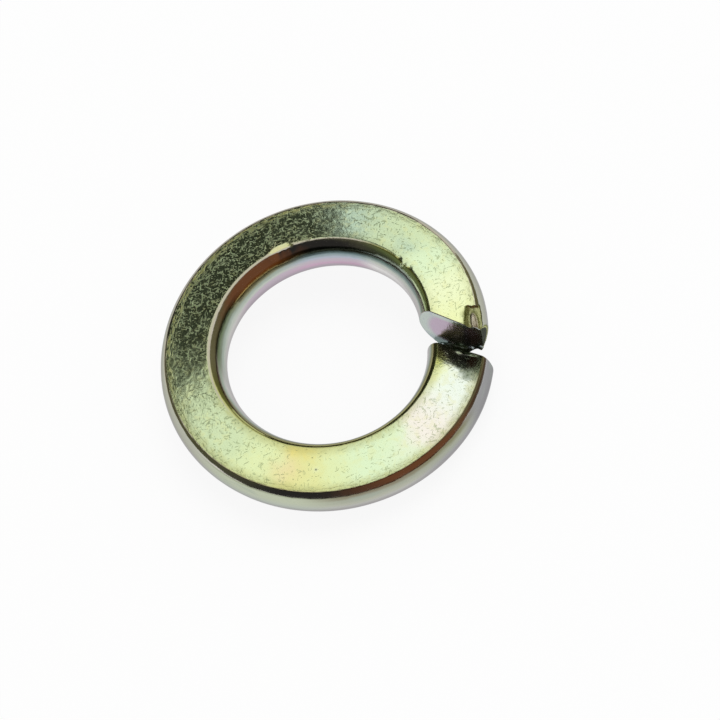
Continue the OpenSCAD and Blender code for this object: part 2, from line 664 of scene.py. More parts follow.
        # Painted shade: a gradient over the flat towards the notch, in colour only, on a surface that still
        # mirrors bright light.
        notch_shade = np.clip((outward + self.shade_reach + rough * 0.1 * MM) / (self.shade_reach + self.shade_end), 0, 1)
        notch_shade = notch_shade * np.clip(-behind / self.shade_fade, 0, 1) * (skin.level > 0.9)
        notch_shade = np.where(near & (outward < self.shade_reach), notch_shade * 0.5, 0)
        skin.carry(Attribute.BROKEN_AND_SHADE, np.maximum(notch_shade, np.maximum(lowered, split * 0.6) / (0.05 * MM)))
        skin.carry(Attribute.FLAP, flap * (lowered > 0))
        # The splinter's share is painted near black in the finish: painted shade.
        skin.carry(Attribute.DRAGGED, split / (0.08 * MM) - 0.6)

    def drag_lip(self, skin: Skin) -> None:
        """Drags the high end's lower edge towards the low end, ragged as the shears left it.

        Args:
            skin: The coil's points, which are moved.
        """
        s = self.sizes
        points, radius = skin.points, skin.radius
        middle = s.height(skin.turn)
        lean = (points[:, 2] - middle) * math.tan(s.end_lean)
        cut = math.pi / 2 - s.cut_slant - np.arccos((s.cut_reach + lean) / radius)
        broken = math.pi / 2 - s.broken_slant - np.arccos((s.broken_reach + lean) / radius)
        behind = (skin.turn - np.maximum(cut, broken)) * radius
        flat_radius = np.clip(radius, s.flat_hole_radius, s.rim_radius - s.rim_side)
        over = points[:, 2] - middle + s.half_thickness(flat_radius)
        thickness = np.interp(radius, *zip(*self.lip_thickness))
        near = np.exp(-(behind / self.lip_length) ** 2 - (over / thickness) ** 2)
        near = np.where(skin.turn < 1.0, near, 0)
        reach = np.interp(radius, *zip(*self.lip_reach))
        reach = reach + self.tooth_share * np.exp(-((radius - self.tooth_radius) / self.tooth_width) ** 2)
        ragged = skin.ragged(near > 0.02, 3, radius * 5.0 / MM, points[:, 2] * 2.0 / MM)
        push = self.lip * near * reach * (1 + self.lip_ragged * ragged) / radius
        spread = np.arctan2(points[:, 1], points[:, 0]) - push
        points[:, 0] = radius * np.cos(spread)
        points[:, 1] = radius * np.sin(spread)
        points[:, 2] = np.maximum(points[:, 2] - self.lip_drop * self.lip * near * reach, 0.0)
        # The lip's share, outwards from the given radius, is painted near black in the finish: painted shade
        # in the gap.
        dragged = near * reach * 1.6 * np.clip((radius - self.shade_radius) / (0.3 * MM), 0, 1)
        skin.carry(Attribute.DRAGGED, np.maximum(dragged, skin.carried(Attribute.DRAGGED)))

    def wear_crest(self, skin: Skin) -> None:
        """Rounds the flats' inner edges a little more, most of all on the far side.

        Args:
            skin: The coil's points, which are moved.
        """
        worn = np.clip(1 - (skin.radius - self.sizes.flat_hole_radius) / self.crest_width, 0, 1) ** 2
        share = np.interp(skin.turn / math.tau, *zip(*self.crest_shares))
        skin.points[:, 2] -= self.crest_depth * share * worn * skin.level

    def press_curl(self, skin: Skin) -> None:
        """Turns down the flat's inner edge where a burr was rolled flat.

        Args:
            skin: The coil's points, which are moved.
        """
        degrees = np.degrees(skin.turn)
        start, end = self.curl_turns
        near = (degrees > start - 3.0) & (degrees < end + 3.0) & (skin.level > self.curl_foot)
        slow = np.clip((degrees - start + 2.0) / 4.0, 0, 1)
        quick = np.clip((degrees - start) / 0.5, 0, 1)
        down = np.clip((1 - skin.level) / 0.15, 0, 1)
        share = (quick + (slow - quick) * down) * np.clip((end - degrees) / 4.0, 0, 1)
        width = self.curl_width * share * (1 + 0.5 * skin.ragged(near, 2, degrees * 0.55))
        edge = self.sizes.flat_hole_radius
        fall = self.curl_slope * np.clip(edge + width - skin.radius, 0, width)
        up_side = np.clip((skin.level - self.curl_foot) / (1 - self.curl_foot), 0, 1)
        fall = fall * np.where(skin.radius < edge, up_side, 1.0)
        skin.points[:, 2] -= np.where(near, fall, 0)

    def raise_lumps(self, skin: Skin) -> None:
        """Pushes the skin at each burr and nick.

        Args:
            skin: The coil's points, which are moved.
        """
        s = self.sizes
        points = skin.points
        for lump in self.lumps:
            angle = math.radians(lump.degrees)
            radius, length, width = lump.radius * MM, lump.length * MM, lump.width * MM
            height = s.height(angle) + s.half_thickness(radius)
            far = ((skin.turn - angle) * radius / length) ** 2
            far = far + ((skin.radius - radius) ** 2 + (points[:, 2] - height) ** 2) / width ** 2
            near = np.exp(-far)[:, None] * MM
            outward = points[:, :2] / skin.radius[:, None]
            points[:, :2] += near * lump.outward * outward
            points[:, 2:] += near * lump.upward

    @staticmethod
    def face_outwards(mesh: bpy.types.Mesh) -> None:
        """Makes every face of a closed mesh point outwards."""
        shape = bmesh.new()
        shape.from_mesh(mesh)
        bmesh.ops.recalc_face_normals(shape, faces=shape.faces)
        shape.to_mesh(mesh)
        shape.free()


class Film(Enum):
    """Colours that the bright metal takes as the film on it grows thicker or thinner, and colours that paint
    shade and reflection onto it.
    """

    LEMON = (0.90, 0.96, 0.50)
    PRIMROSE = (0.90, 0.98, 0.61)
    YELLOW = (0.82, 0.72, 0.22)
    ACID = (0.82, 0.88, 0.22)
    STRAW = (0.80, 0.80, 0.34)
    PEACH = (0.90, 0.72, 0.45)
    CREAM = (0.78, 0.88, 0.48)
    OLIVE = (0.48, 0.49, 0.19)
    LODEN = (0.20, 0.22, 0.06)
    FERN = (0.58, 0.60, 0.29)
    PALE_GREEN = (0.66, 0.79, 0.48)
    MINT = (0.76, 0.92, 0.60)
    AQUA = (0.54, 0.70, 0.52)
    PEARL = (0.90, 0.98, 0.86)
    BLUSH = (0.95, 0.90, 0.80)
    IVORY = (0.78, 0.74, 0.42)
    LEAF = (0.36, 0.44, 0.22)
    BOTTLE = (0.14, 0.18, 0.10)
    NEUTRAL = (0.70, 0.66, 0.60)
    EDGE = (0.50, 0.46, 0.36)
    SHADE_BLACK = (0.05, 0.06, 0.04)
    DEEP_TEAL = (0.13, 0.19, 0.19)
    TEAL = (0.30, 0.37, 0.39)
    KELP = (0.16, 0.23, 0.20)
    SEA = (0.27, 0.33, 0.31)
    SPRUCE = (0.19, 0.22, 0.16)
    DARK_MOSS = (0.20, 0.24, 0.17)
    MOSS = (0.36, 0.42, 0.36)
    PALE_MOSS = (0.50, 0.54, 0.48)
    MEADOW = (0.50, 0.54, 0.41)
    WILLOW = (0.35, 0.39, 0.27)
    LICHEN = (0.38, 0.40, 0.32)
    SAGE = (0.46, 0.47, 0.39)
    UMBER = (0.26, 0.24, 0.17)
    BARK = (0.26, 0.23, 0.13)
    TAN = (0.62, 0.56, 0.43)
    RED_EDGE_SHADE = (0.32, 0.17, 0.12)
    WINE = (0.40, 0.26, 0.28)
    STONE = (0.50, 0.50, 0.47)
    SLATE = (0.43, 0.46, 0.53)
    HEATHER = (0.52, 0.45, 0.51)
    MAUVE = (0.46, 0.38, 0.44)
    PINK = (0.60, 0.42, 0.54)
    LILAC = (0.50, 0.41, 0.495)
    PALE = (0.61, 0.60, 0.58)
    SILVER = (0.79, 0.78, 0.76)
    FROST = (0.51, 0.57, 0.53)
    ASH = (0.38, 0.38, 0.38)
    DUSK = (0.31, 0.31, 0.315)
    MOLE = (0.43, 0.41, 0.41)
    KHAKI = (0.24, 0.24, 0.14)
    BROWN = (0.30, 0.23, 0.09)
    GINGER = (0.55, 0.38, 0.12)


# Top stops of the side ramps: painted shade where the side rounds into the flat, darkest at the very edge.
GREEN_TOP_SHADE = ((0.975, Film.PALE_GREEN), (0.99, Film.OLIVE))
PLAIN_TOP_SHADE = ((0.985, Film.NEUTRAL), (0.995, Film.EDGE))
RIM_TOP_SHADE = ((0.98, Film.NEUTRAL), (0.995, Film.BARK))


@dataclass
class FinishDesk:
    """Adds the nodes of one material, on the piece's own coordinates in millimetres."""

    material: bpy.types.Material
    sizes: WasherSizes = WasherSizes()
    side_height: float = 1.2
    tree: bpy.types.NodeTree = field(init=False)
    shader: bpy.types.Node = field(init=False)
    place: bpy.types.NodeSocket = field(init=False)

    def __post_init__(self) -> None:
        """Opens the material's tree and adds the coordinates."""
        self.material.use_nodes = True
        self.tree = self.material.node_tree
        self.shader = self.tree.nodes["Principled BSDF"]
        source = self.tree.nodes.new("ShaderNodeTexCoord")
        self.place = self.stretch(source.outputs["Object"], (1 / MM, 1 / MM, 1 / MM))

    def stretch(self, place: bpy.types.NodeSocket, scale: Colour) -> bpy.types.NodeSocket:
        """Scales coordinates along each axis."""
        node = self.tree.nodes.new("ShaderNodeMapping")
        node.inputs["Scale"].default_value = scale
        self.tree.links.new(place, node.inputs["Vector"])
        return node.outputs["Vector"]

    def carried(self, name: Attribute) -> Formula:
        """Reads a number that the mesh carries."""
        node = self.tree.nodes.new("ShaderNodeAttribute")
        node.attribute_name = name.value
        return Formula(self.tree, node.outputs["Fac"])

    def wire_place(self, turn: Formula, across: Formula, level: Formula) -> bpy.types.NodeSocket:
        """Makes coordinates in millimetres that run along the wire, across it and up its sides."""
        node = self.tree.nodes.new("ShaderNodeCombineXYZ")
        feed(self.tree, node.inputs["X"], turn * (math.tau * self.sizes.middle_radius / MM))
        feed(self.tree, node.inputs["Y"], across * (self.sizes.wire_width / MM))
        feed(self.tree, node.inputs["Z"], level * self.side_height)
        return node.outputs["Vector"]

    def noise(self, per_mm: float, detail: float = 2.0, distortion: float = 0.0, roughness: float = 0.5,
              shift: float = 0.0, place: bpy.types.NodeSocket | None = None) -> Formula:
        """Adds a cloud pattern.

        Args:
            per_mm: Number of clouds in a millimetre.
            detail: Number of finer layers.
            distortion: How far the clouds are pulled about.
            roughness: Weight of the finer layers.
            shift: Moves the pattern, so that two of one scale differ.
            place: Coordinates, if they aren't the piece's own in millimetres.

        Returns:
            A number round 0.5.
        """
        node = self.tree.nodes.new("ShaderNodeTexNoise")
        node.noise_dimensions = "4D"
        feed(self.tree, node.inputs["Vector"], place or self.place)
        feed(self.tree, node.inputs["W"], shift)
        feed(self.tree, node.inputs["Scale"], per_mm)
        feed(self.tree, node.inputs["Detail"], detail)
        feed(self.tree, node.inputs["Roughness"], roughness)
        feed(self.tree, node.inputs["Distortion"], distortion)
        return Formula(self.tree, node.outputs["Fac"])

    def ramp(self, value: Formula, stops: tuple[tuple[float, Film], ...]) -> bpy.types.NodeSocket:
        """Adds a colour ramp that eases from film to film."""
        node = self.tree.nodes.new("ShaderNodeValToRGB")
        node.color_ramp.interpolation = "EASE"
        marks = node.color_ramp.elements
        while len(marks) < len(stops):
            marks.new(1.0)
        for mark, (position, _) in zip(marks, stops):
            mark.position = position
        for mark, (_, film) in zip(marks, stops):
            mark.color = (*film.value, 1.0)
        feed(self.tree, node.inputs["Fac"], value)
        return node.outputs["Color"]

    def blend(self, base: object, other: object, share: "Formula | float",
              way: str = "MIX") -> bpy.types.NodeSocket:
        """Mixes two colours.

        Args:
            base: The colour underneath, as a socket or a film.
            other: The colour laid over it.
            share: How much of the other colour shows.
            way: The mix node's way of mixing.

        Returns:
            The mixed colour.
        """
        node = self.tree.nodes.new("ShaderNodeMix")
        node.data_type = "RGBA"
        node.blend_type = way
        feed(self.tree, node.inputs["Factor"], share)
        for slot, colour in ((node.inputs[6], base), (node.inputs[7], other)):
            feed(self.tree, slot, (*colour.value, 1.0) if isinstance(colour, Film) else colour)
        return node.outputs[2]

    def bump(self, height: Formula, depth: float) -> bpy.types.NodeSocket:
        """Raises the surface by a height from 0 to 1, times a depth in metres."""
        node = self.tree.nodes.new("ShaderNodeBump")
        node.inputs["Distance"].default_value = depth
        feed(self.tree, node.inputs["Height"], height)
        return node.outputs["Normal"]


@dataclass(frozen=True)
class Patch:
    """A stretch of the coil where the film has another thickness."""

    film: Film
    turn: float
    spread: float
    across: float
    width: float
    share: float = 1.0

    def mask(self, turn: Formula, across: Formula) -> Formula:
        """How much of the patch shows: its share in its middle, fading out all round."""
        far = ((turn - self.turn) / self.spread) ** 2.0 + ((across - self.across) / self.width) ** 2.0
        return (far * -1.0).math("EXPONENT") * self.share


@dataclass(frozen=True)
class Wall:
    """The film on one stretch of a rounded side, from its lower edge at 0 to its upper edge at 1, with
    painted reflection bands and painted edge shade in its ramp.
    """

    starts: tuple[float, float]
    films: tuple[tuple[float, Film], ...]


@dataclass(frozen=True)
class ZincFinish:
    """Yellow zinc plating: a bright metal under a thin film, whose colour drifts with its thickness, with
    painted reflection and painted shade in its colour as well.
    """

    name: str = "yellow zinc"
    roughness: float = 0.12
    edge_tint: Colour = (0.62, 0.61, 0.62)
    bump_depth: float = 0.012 * MM
    scarcity: float = 0.675
    far_scarcity: float = 0.038
    stroke_size: Colour = (0.34, 0.10, 0.4)
    stroke_edge: float = 0.05
    headings: tuple[tuple[float, float], ...] = ((0.4, 33.0), (-0.5, 35.0), (1.5, 37.0))
    drift: tuple[tuple[float, Film], ...] = (
        (0.000, Film.LEMON), (0.045, Film.PRIMROSE), (0.095, Film.MINT), (0.145, Film.PALE_GREEN),
        (0.220, Film.AQUA), (0.275, Film.PALE_GREEN), (0.500, Film.PALE_GREEN), (0.630, Film.PALE_GREEN),
        (0.680, Film.CREAM), (0.723, Film.STRAW), (0.765, Film.CREAM), (0.800, Film.MINT),
        (0.850, Film.MINT), (0.890, Film.BLUSH), (0.935, Film.PEARL), (1.000, Film.PEARL))
    # The sides' ramps hold the film's own colour and painted reflection: their black, teal, green and brown
    # bands stand in for the dark boards and the washer's own parts that the side mirrors, and they grow
    # darker towards the bottom.
    hole_walls: tuple[Wall, ...] = (
        Wall((0.0, 0.0), (
            (0.30, Film.MOLE), (0.44, Film.PALE), (0.72, Film.PALE), (0.79, Film.PALE_MOSS),
            (0.825, Film.SEA), (0.86, Film.SPRUCE), (0.885, Film.SPRUCE), (0.905, Film.MEADOW),
            (0.925, Film.MEADOW), (0.945, Film.LEAF), *GREEN_TOP_SHADE)),
        Wall((0.05, 0.085), (
            (0.30, Film.MOLE), (0.42, Film.SILVER), (0.56, Film.SILVER), (0.645, Film.PALE),
            (0.735, Film.PALE_MOSS), (0.795, Film.SEA), (0.825, Film.KELP), (0.87, Film.SEA),
            (0.89, Film.MOSS), (0.915, Film.DARK_MOSS), (0.942, Film.PALE_GREEN), *GREEN_TOP_SHADE)),
        Wall((0.095, 0.13), (
            (0.30, Film.MOLE), (0.42, Film.SILVER), (0.56, Film.SILVER), (0.645, Film.PALE),
            (0.705, Film.PALE_MOSS), (0.765, Film.SEA), (0.80, Film.KELP), (0.83, Film.KELP),
            (0.86, Film.SEA), (0.885, Film.SPRUCE), (0.92, Film.MOSS), *GREEN_TOP_SHADE)),
        Wall((0.155, 0.20), (
            (0.20, Film.MAUVE), (0.32, Film.HEATHER), (0.44, Film.PINK), (0.58, Film.HEATHER),
            (0.65, Film.SLATE), (0.71, Film.TEAL), (0.765, Film.DEEP_TEAL), (0.83, Film.SHADE_BLACK),
            (0.87, Film.SHADE_BLACK), (0.91, Film.NEUTRAL), *PLAIN_TOP_SHADE)),
        Wall((0.27, 0.335), (
            (0.20, Film.MAUVE), (0.44, Film.HEATHER), (0.53, Film.HEATHER), (0.60, Film.PALE_MOSS),
            (0.66, Film.MOSS), (0.75, Film.KHAKI), (0.81, Film.BROWN), (0.85, Film.GINGER),
            (0.90, Film.NEUTRAL), *PLAIN_TOP_SHADE)),
        Wall((0.38, 0.44), (
            (0.20, Film.MOLE), (0.42, Film.PALE), (0.53, Film.PALE), (0.63, Film.PALE_MOSS),
            (0.71, Film.MOSS), (0.785, Film.DARK_MOSS), (0.83, Film.BOTTLE), (0.865, Film.BOTTLE),
            (0.90, Film.UMBER), (0.94, Film.NEUTRAL), *PLAIN_TOP_SHADE)),
        Wall((0.50, 0.57), (
            (0.25, Film.MOLE), (0.45, Film.PALE), (0.78, Film.PALE), (0.83, Film.PALE_MOSS),
            (0.87, Film.MOSS), (0.92, Film.KHAKI), (0.99, Film.OLIVE))),
    )
    # Painted reflection on the rim's side too: the umber, khaki and wine bands stand in for dark
    # surroundings that the side mirrors.
    rim_walls: tuple[Wall, ...] = (
        Wall((0.0, 0.0), (
            (0.20, Film.MOLE), (0.60, Film.STONE), (0.70, Film.SAGE), (0.93, Film.SAGE), (0.98, Film.EDGE))),
        Wall((0.60, 0.66), (
            (0.20, Film.MOLE), (0.45, Film.PALE_MOSS), (0.75, Film.MEADOW), (0.83, Film.MEADOW),
            (0.87, Film.WILLOW), (0.90, Film.NEUTRAL), *RIM_TOP_SHADE)),
        Wall((0.72, 0.78), (
            (0.20, Film.MOLE), (0.50, Film.STONE), (0.58, Film.SAGE), (0.73, Film.LICHEN),
            (0.82, Film.UMBER), (0.87, Film.UMBER), (0.90, Film.NEUTRAL), *RIM_TOP_SHADE)),
        Wall((0.83, 0.88), (
            (0.25, Film.MOLE), (0.50, Film.ASH), (0.72, Film.LICHEN), (0.83, Film.KHAKI),
            (0.88, Film.UMBER), (0.91, Film.NEUTRAL), *RIM_TOP_SHADE)),
        Wall((0.90, 0.94), (
            (0.25, Film.DUSK), (0.86, Film.DUSK), (0.90, Film.ASH), (0.945, Film.WINE), *RIM_TOP_SHADE)),
    )
    patches: tuple[Patch, ...] = (
        Patch(Film.YELLOW, 0.724, 0.028, 0.24, 0.13),
        Patch(Film.PEACH, 0.712, 0.016, 0.58, 0.22, 0.5),
        Patch(Film.ACID, 0.976, 0.026, 0.22, 0.16),
        Patch(Film.LEMON, 0.945, 0.02, 0.25, 0.10, 0.6),
        Patch(Film.AQUA, 0.135, 0.016, 0.42, 0.16, 0.8),
        Patch(Film.BLUSH, 0.873, 0.03, 0.62, 0.2, 0.5),
        Patch(Film.IVORY, 0.311, 0.020, 0.22, 0.09),
    )
    spots: tuple[Patch, ...] = (
        # The first two spots paint a pit onto the flat face: a pale ring round a black middle, painted
        # highlight and painted shade.
        Patch(Film.PRIMROSE, 0.745, 0.0030, 0.527, 0.036, 0.7),
        Patch(Film.SHADE_BLACK, 0.745, 0.0013, 0.527, 0.016, 0.9),
        Patch(Film.GINGER, 0.462, 0.010, 0.115, 0.02, 0.7),
    )

    def build(self) -> bpy.types.Material:
        """Builds the material."""
        material = bpy.data.materials.new(self.name)
        desk = FinishDesk(material)
        shader = desk.shader
        shader.inputs["Metallic"].default_value = 1.0
        shader.inputs["Specular Tint"].default_value = (*self.edge_tint, 1.0)
        across, level, turn, face, broken, dragged, flap = (desk.carried(name) for name in Attribute)
        wire = desk.wire_place(turn, across, level)
        sheared = face.math("GREATER_THAN", 0.01)
        flat = level.between(0.985, 0.999) * (1.0 - sheared) * (1.0 - broken)
        rim_side = (across - 0.5).math("GREATER_THAN", 0.0)

        cloud = desk.noise(0.55, 3.0, 0.4) - 0.5
        fine_cloud = desk.noise(2.2, 3.0, 0.8, shift=3.0) - 0.5
        streak = desk.noise(1.0, 3.0, 0.3, shift=19.0, place=desk.stretch(wire, (0.4, 1.5, 4.0))) - 0.5
        far_zone = turn.between(0.19, 0.27) * (1.0 - turn.between(0.50, 0.60))
        margin = ((across - 0.53).math("ABSOLUTE") + fine_cloud * 0.14).between(0.17, 0.34)

        where = desk.noise(0.8, 2.0, 0.0, shift=11.0).between(0.36, 0.6)
        scarce = self.scarcity - self.far_scarcity * far_zone - 0.03 * where
        strokes = [self.strokes(desk, scarce, heading, shift) for heading, shift in self.headings]
        fleck = strokes[0].math("MAXIMUM", strokes[1]).math("MAXIMUM", strokes[2])
        brushed = desk.noise(2.4, 2.0, 0.5, shift=23.0, place=desk.stretch(wire, (1.0, 3.4, 1.0)))
        brushed = brushed.between(0.49, 0.58) * margin * rim_side
        rolled = turn.between(0.290, 0.296) * (1.0 - turn.between(0.322, 0.331))
        bare = 1.0 - across.between(0.222, 0.234)
        bare = bare * turn.between(0.25, 0.30) * (1.0 - turn.between(0.56, 0.62))
        smooth = bare.math("MAXIMUM", rolled * (1.0 - across.between(0.26, 0.285)))
        fleck = fleck * (1.0 - smooth)

        top = self.top_film(desk, turn, across, margin, fleck, far_zone, cloud, fine_cloud)
        top = desk.blend(top, Film.EDGE, bare * (1.0 - rolled) * 0.8)
        top = desk.blend(top, Film.STRAW, brushed * far_zone * 0.9)
        room = 1.0 - level * level
        stage = 0.5 + level * 0.5 + (cloud * 0.06 + fine_cloud * 0.05 + streak * 0.10) * room
        # The sides' colour is film colour with painted reflection bands and painted edge shade in it.
        side = desk.blend(self.wall_film(desk, stage, turn, self.hole_walls),
                          self.wall_film(desk, stage, turn, self.rim_walls), rim_side)
        green = desk.noise(0.9, 2.0, 0.6, shift=21.0, place=desk.stretch(wire, (0.7, 1.0, 1.4)))
        green = green.between(0.5, 0.64) * rim_side * turn.between(0.62, 0.68) * level.between(0.0, 0.35)
        side = desk.blend(side, Film.MOSS, green * (1.0 - level.between(0.55, 0.7)) * 0.45)
        colour = desk.blend(side, top, level.between(0.993, 0.9998))
        colour = desk.blend(colour, self.torn_film(desk, face, level), sheared)
        ashen = desk.noise(3.0, 3.0, 0.8, shift=39.0, place=desk.stretch(desk.place, (2.0, 0.6, 1.0)))
        # The broken corner's own colour, and painted shade over the flat beside the notch, which still
        # mirrors bright light there.
        colour = desk.blend(colour, Film.LODEN, broken.between(0.0, 0.5))
        colour = desk.blend(colour, Film.FERN, broken.between(0.5, 0.8))
        colour = desk.blend(colour, Film.BOTTLE, broken.between(0.5, 0.8) * ashen.between(0.5, 0.62) * 0.35)
        colour = desk.blend(colour, Film.TAN, flap.between(0.25, 0.6))
        # Painted shade: the dragged lip and the splinter are painted near black, which also hides the glints
        # they would mirror.
        colour = desk.blend(colour, Film.SHADE_BLACK, dragged.between(0.2, 0.7))
        feed(desk.tree, shader.inputs["Base Color"], colour)

        torn = desk.noise(1.0, 3.0, 0.0, shift=9.0, place=desk.stretch(desk.place, (7.0, 7.0, 1.2)))
        grain = desk.noise(9.0, 2.0, 0.0, shift=5.0)
        dents = desk.noise(2.6, 1.0, 0.3, shift=15.0)
        uneven = desk.noise(1.5, 1.0, 0.0, shift=17.0, place=wire)
        height = fleck * flat * (0.15 + 0.65 * far_zone) + brushed * flat * (0.30 + 0.70 * far_zone)
        height = height + dents * flat * (0.5 + 0.3 * far_zone) + grain * 0.10
        height = height + uneven * (1.0 - flat) * 1.3 + streak * (1.0 - flat) * 0.35
        height = height + torn * (sheared * 0.7 + broken).math("MINIMUM", 1.0)
        feed(desk.tree, shader.inputs["Normal"], desk.bump(height, self.bump_depth))
        rough = self.roughness + fleck * flat * (0.04 + 0.30 * far_zone)
        rough = rough + brushed * flat * (0.1 + 0.2 * far_zone)
        rough = rough + margin * flat * 0.05 + where * 0.03 + sheared * 0.05
        feed(desk.tree, shader.inputs["Roughness"], rough + (broken + dragged).math("MINIMUM", 1.0) * 0.3)
        return material

    def strokes(self, desk: FinishDesk, scarce: Formula, heading: float, shift: float) -> Formula:
        """Adds short curved scuffs.

        Args:
            desk: The material's nodes.
            scarce: Threshold, from about 0.5 for many to 0.65 for few.
            heading: Way that they run, in radians from X.
            shift: Moves the pattern.

        Returns:
            Where the scuffs are, from 0 to 1.
        """
        node = desk.tree.nodes.new("ShaderNodeMapping")
        node.vector_type = "TEXTURE"
        node.inputs["Rotation"].default_value = (0.0, 0.0, heading)
        node.inputs["Scale"].default_value = self.stroke_size
        desk.tree.links.new(desk.place, node.inputs["Vector"])
        marks = desk.noise(1.0, 1.0, 0.9, shift=shift, place=node.outputs["Vector"])
        return ((marks - scarce) / self.stroke_edge).math("MINIMUM", 1.0).math("MAXIMUM", 0.0)

    def top_film(self, desk: FinishDesk, turn: Formula, across: Formula, margin: Formula, fleck: Formula,
                 far_zone: Formula, cloud: Formula, fine_cloud: Formula) -> bpy.types.NodeSocket:
        """Colours the flat top face, with a painted reflection of the high end on the low end's top and
        painted shade on the scuffs.

        Args:
            desk: The material's nodes.
            turn: Share of the way round the coil.
            across: Share of the way from the hole to the rim.
            margin: Where the flat nears its edges.
            fleck: Where the film is scuffed.
            far_zone: Where the scuffs are heaviest.
            cloud: Slow change of the film.
            fine_cloud: Quick change of the film.

        Returns:
            The colour.
        """
        drifted = turn + cloud * 0.05 + fine_cloud * 0.015
        top = desk.ramp(drifted, self.drift)
        for patch in self.patches:
            top = desk.blend(top, patch.film, patch.mask(drifted, across + fine_cloud * 0.3))
        mottle = desk.noise(2.8, 3.0, 0.6, shift=29.0).between(0.46, 0.68)
        top = desk.blend(top, Film.STRAW, mottle * 0.28)
        near_half = turn.between(0.46, 0.58)
        top = desk.blend(top, Film.OLIVE, margin * (0.28 + 0.3 * near_half))
        # Scuffs darkened in colour only outside the far zone, where the top mirrors bright light: real
        # scuffing plus painted shade of their tilted facets.
        top = desk.blend(top, Film.LEAF, fleck * (0.55 - 0.55 * far_zone))
        # Painted reflection: the low end's top near the cut is turned bottle green, where it mirrors the
        # high end's dark face.
        shore = (across * -0.10 + 1.020).math("MAXIMUM", 0.960) + fine_cloud * 0.026 + cloud * 0.01
        dark = (turn - shore).between(-0.006, 0.007)
        top = desk.blend(top, Film.BOTTLE, dark * (0.92 - 0.25 * mottle))
        for spot in self.spots:
            top = desk.blend(top, spot.film, spot.mask(turn, across))
        return top

    @staticmethod
    def wall_film(desk: FinishDesk, stage: Formula, turn: Formula,
                  walls: tuple[Wall, ...]) -> bpy.types.NodeSocket:
        """Colours one rounded side, each stretch easing into the next, painted reflection bands and painted
        edge shade included.

        Args:
            desk: The material's nodes.
            stage: Height on the side, from 0 to 1.
            turn: Share of the way round the coil.
            walls: The stretches, in order round the coil.

        Returns:
            The colour.
        """
        side = desk.ramp(stage, walls[0].films)
        for wall in walls[1:]:
            side = desk.blend(side, desk.ramp(stage, wall.films), turn.between(*wall.starts))
        return side

    @staticmethod
    def torn_film(desk: FinishDesk, face: Formula, level: Formula) -> bpy.types.NodeSocket:
        """Colours the sheared end faces: lilac inside a pale border, teal low down, and a painted shade of
        dark red along the top edge.
        """
        inner = face.between(0.26, 0.44)
        torn = desk.blend(Film.FROST, Film.LILAC, inner)
        torn = desk.blend(torn, Film.TEAL, (level * -1.0).between(0.35, 0.85) * 0.65)
        specks = desk.noise(7.0, 2.0, 0.0, shift=31.0).between(0.56, 0.66)
        torn = desk.blend(torn, Film.SLATE, specks * (0.7 - 0.5 * inner))
        # Painted shade: a red-brown band along the face's top edge, where its rounding turns away.
        line = (1.0 - face.between(0.0, 0.10)) * level.between(0.45, 0.8)
        return desk.blend(torn, Film.RED_EDGE_SHADE, line * 0.85)


@dataclass(frozen=True)
class Flag:
    """A dark board beside the set, out of the camera's sight, which the bright metal mirrors."""

    name: str
    azimuth: tuple[float, float]
    elevation: tuple[float, float]
    shades: tuple[Colour, Colour]
    distance: float = 0.3
    steps: int = 24

    def build(self) -> bpy.types.Object:
        """Builds the board as a patch of a sphere round the washer, seen by mirrored rays only."""
        points, shades = [], []
        for i in range(self.steps + 1):
            elevation = math.radians(np.interp(i / self.steps, (0, 1), self.elevation))
            for j in range(self.steps + 1):
                share = j / self.steps
                azimuth = math.radians(np.interp(share, (0, 1), self.azimuth))
                flat = math.cos(elevation)
                points.append((self.distance * flat * math.cos(azimuth),
                               self.distance * flat * math.sin(azimuth),
                               self.distance * math.sin(elevation)))
                shades.extend(start + (end - start) * share for start, end in zip(*self.shades))
                shades.append(1.0)
        wide = self.steps + 1
        faces = [(i * wide + j, i * wide + j + 1, (i + 1) * wide + j + 1, (i + 1) * wide + j)
                 for i in range(self.steps) for j in range(self.steps)]
        mesh = bpy.data.meshes.new(self.name)
        mesh.from_pydata(points, [], faces)
        mesh.attributes.new("shade", "FLOAT_COLOR", "POINT").data.foreach_set("color", shades)
        board = bpy.data.objects.new(self.name, mesh)
        bpy.context.scene.collection.objects.link(board)
        mesh.materials.append(board_glow(self.name))
        board.visible_camera = False
        board.visible_diffuse = False
        board.visible_shadow = False
        board.visible_transmission = False
        return board


def board_glow(name: str) -> bpy.types.Material:
    """Makes a material that shows the shades that a board's mesh carries."""
    material = bpy.data.materials.new(name)
    material.use_nodes = True
    tree = material.node_tree
    tree.nodes.clear()
    shade = tree.nodes.new("ShaderNodeAttribute")
    shade.attribute_name = "shade"
    glow = tree.nodes.new("ShaderNodeEmission")
    tree.links.new(shade.outputs["Color"], glow.inputs["Color"])
    out = tree.nodes.new("ShaderNodeOutputMaterial")
    tree.links.new(glow.outputs[0], out.inputs["Surface"])
    return material


BLACK = (0.026, 0.026, 0.026)
DULL = (0.08, 0.082, 0.052)
DIM = (0.035, 0.037, 0.032)
MOSSY = (0.14, 0.145, 0.085)
COPPER = (0.17, 0.072, 0.034)
TAWNY = (0.14, 0.13, 0.07)
HAY = (0.22, 0.22, 0.12)


